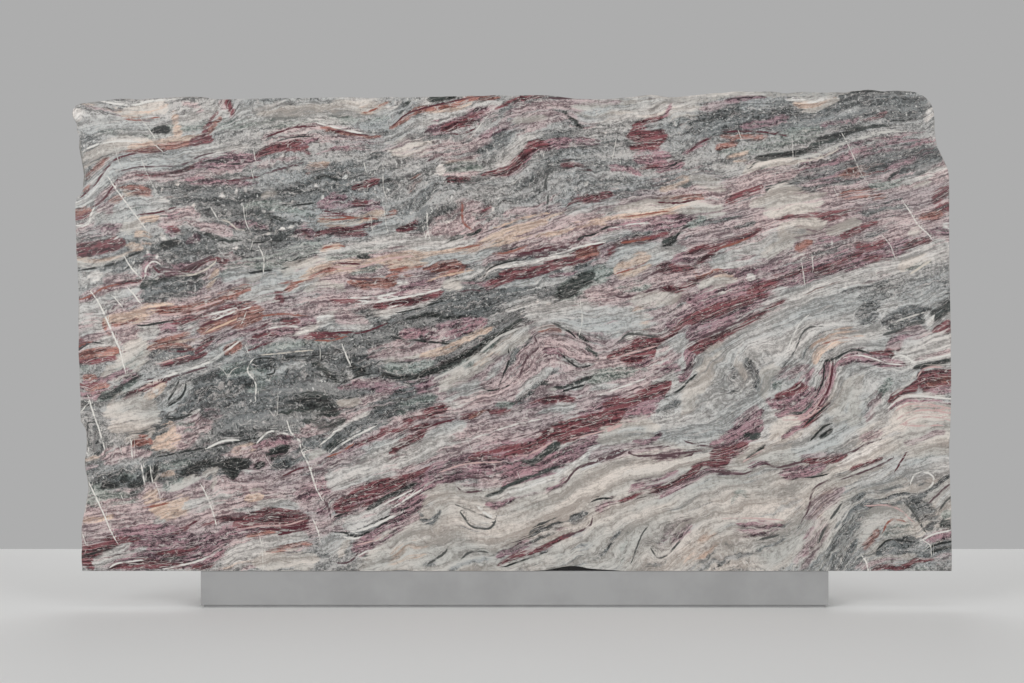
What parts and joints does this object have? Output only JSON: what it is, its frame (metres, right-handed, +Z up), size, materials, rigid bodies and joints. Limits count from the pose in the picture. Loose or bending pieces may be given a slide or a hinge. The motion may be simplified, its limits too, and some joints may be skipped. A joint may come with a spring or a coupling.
{
  "type": "marble slab on a plinth",
  "caption": "Polished slab of folded, laminated marble with broken natural edges, standing on its long sawn edge on a low grey plinth.",
  "frame": {"origin": "middle of the whole object's footprint, on the floor", "axes": "+X along the slab's length to the right as seen from the polished face, -Y out of the polished face, +Z up"},
  "size_m": [3.0002, 0.404, 1.7672],
  "materials": {
    "marble": "polished",
    "plinth_grey": "matte"
  },
  "bodies": {
    "root": {"slab": "marble", "plinth": "plinth_grey"}
  },
  "joints": []
}
